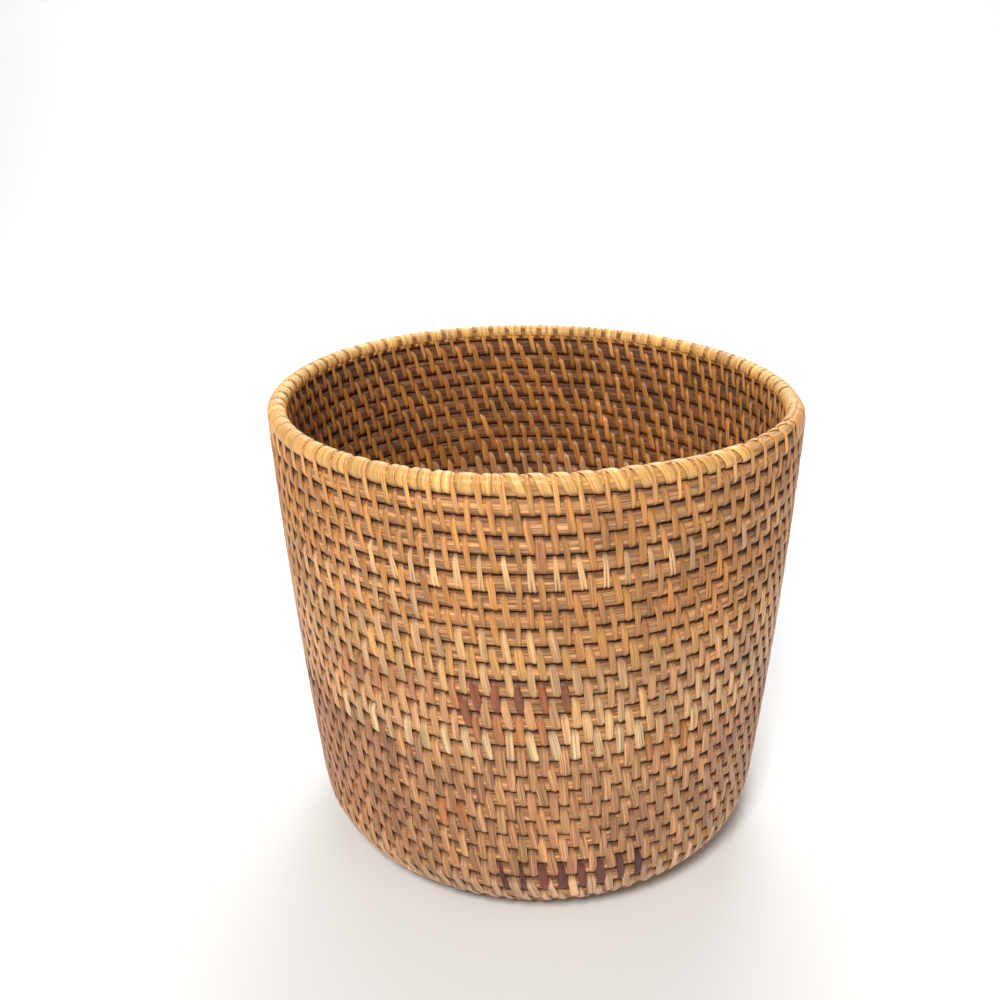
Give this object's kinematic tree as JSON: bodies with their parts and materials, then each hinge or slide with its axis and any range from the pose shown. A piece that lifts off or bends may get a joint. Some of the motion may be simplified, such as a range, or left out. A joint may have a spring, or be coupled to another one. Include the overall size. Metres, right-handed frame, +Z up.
{
  "type": "coiled rattan bread basket",
  "caption": "Deep round open-topped coiled rattan basket with a flat bottom, rounded foot and a wrapped rim.",
  "frame": {"origin": "middle of the flat bottom, on the surface that the basket stands on", "axes": "+Z up along the basket's axis towards the open rim; -Y is the front; the rim's tail ends 12 degrees towards the front from +X"},
  "size_m": [0.2617, 0.2619, 0.2389],
  "materials": {
    "cane": "bare rattan core, dry, satin, with fine lengthwise fibres",
    "rim_cane": "bare rattan core, satin, with fine lengthwise fibres",
    "peel_golden": "rattan peel strip, golden, smooth skin with a soft gloss",
    "peel_tan": "rattan peel strip, pinkish tan, flat, with fine lengthwise grain",
    "peel_cream": "rattan peel strip, pale cream, smooth, soft gloss",
    "peel_russet": "rattan peel strip, red-brown, smooth, satin",
    "peel_maroon": "rattan peel strip, dark maroon, flat, satin",
    "rim_peel": "rattan peel strip, pale straw, glossy skin outwards"
  },
  "bodies": {
    "root": {"base_cane": "cane", "corner_cane": "cane", "wall_cane_1": "cane", "wall_cane_2": "cane", "wall_cane_3": "cane", "wall_cane_4": "cane", "wall_cane_5": "cane", "rim_cane": "rim_cane", "binding_01": "peel_tan", "binding_02": "peel_tan", "binding_03": "peel_tan", "binding_04": "peel_tan", "binding_05": "peel_tan", "binding_06": "peel_tan", "binding_07": "peel_tan", "binding_08": "peel_tan", "binding_09": "peel_tan", "binding_10": "peel_tan", "binding_11": "peel_tan", "binding_12": "peel_tan", "binding_13": "peel_tan", "binding_14": "peel_maroon", "binding_15": "peel_tan", "binding_16": "peel_tan", "binding_17": "peel_tan", "binding_18": "peel_tan", "binding_19": "peel_tan", "binding_20": "peel_tan", "binding_21": "peel_tan", "binding_22": "peel_golden", "binding_23": "peel_cream", "binding_24": "peel_golden", "binding_25": "peel_russet", "binding_26": "peel_russet", "binding_27": "peel_golden", "binding_28": "peel_golden", "binding_29": "peel_golden", "binding_30": "peel_golden", "binding_31": "peel_golden", "binding_32": "peel_golden", "binding_33": "peel_golden", "binding_34": "peel_golden", "binding_35": "peel_golden", "binding_36": "peel_golden", "rim_stitches": "rim_peel", "rim_wraps": "rim_peel", "tail_binding": "rim_peel"}
  },
  "joints": []
}
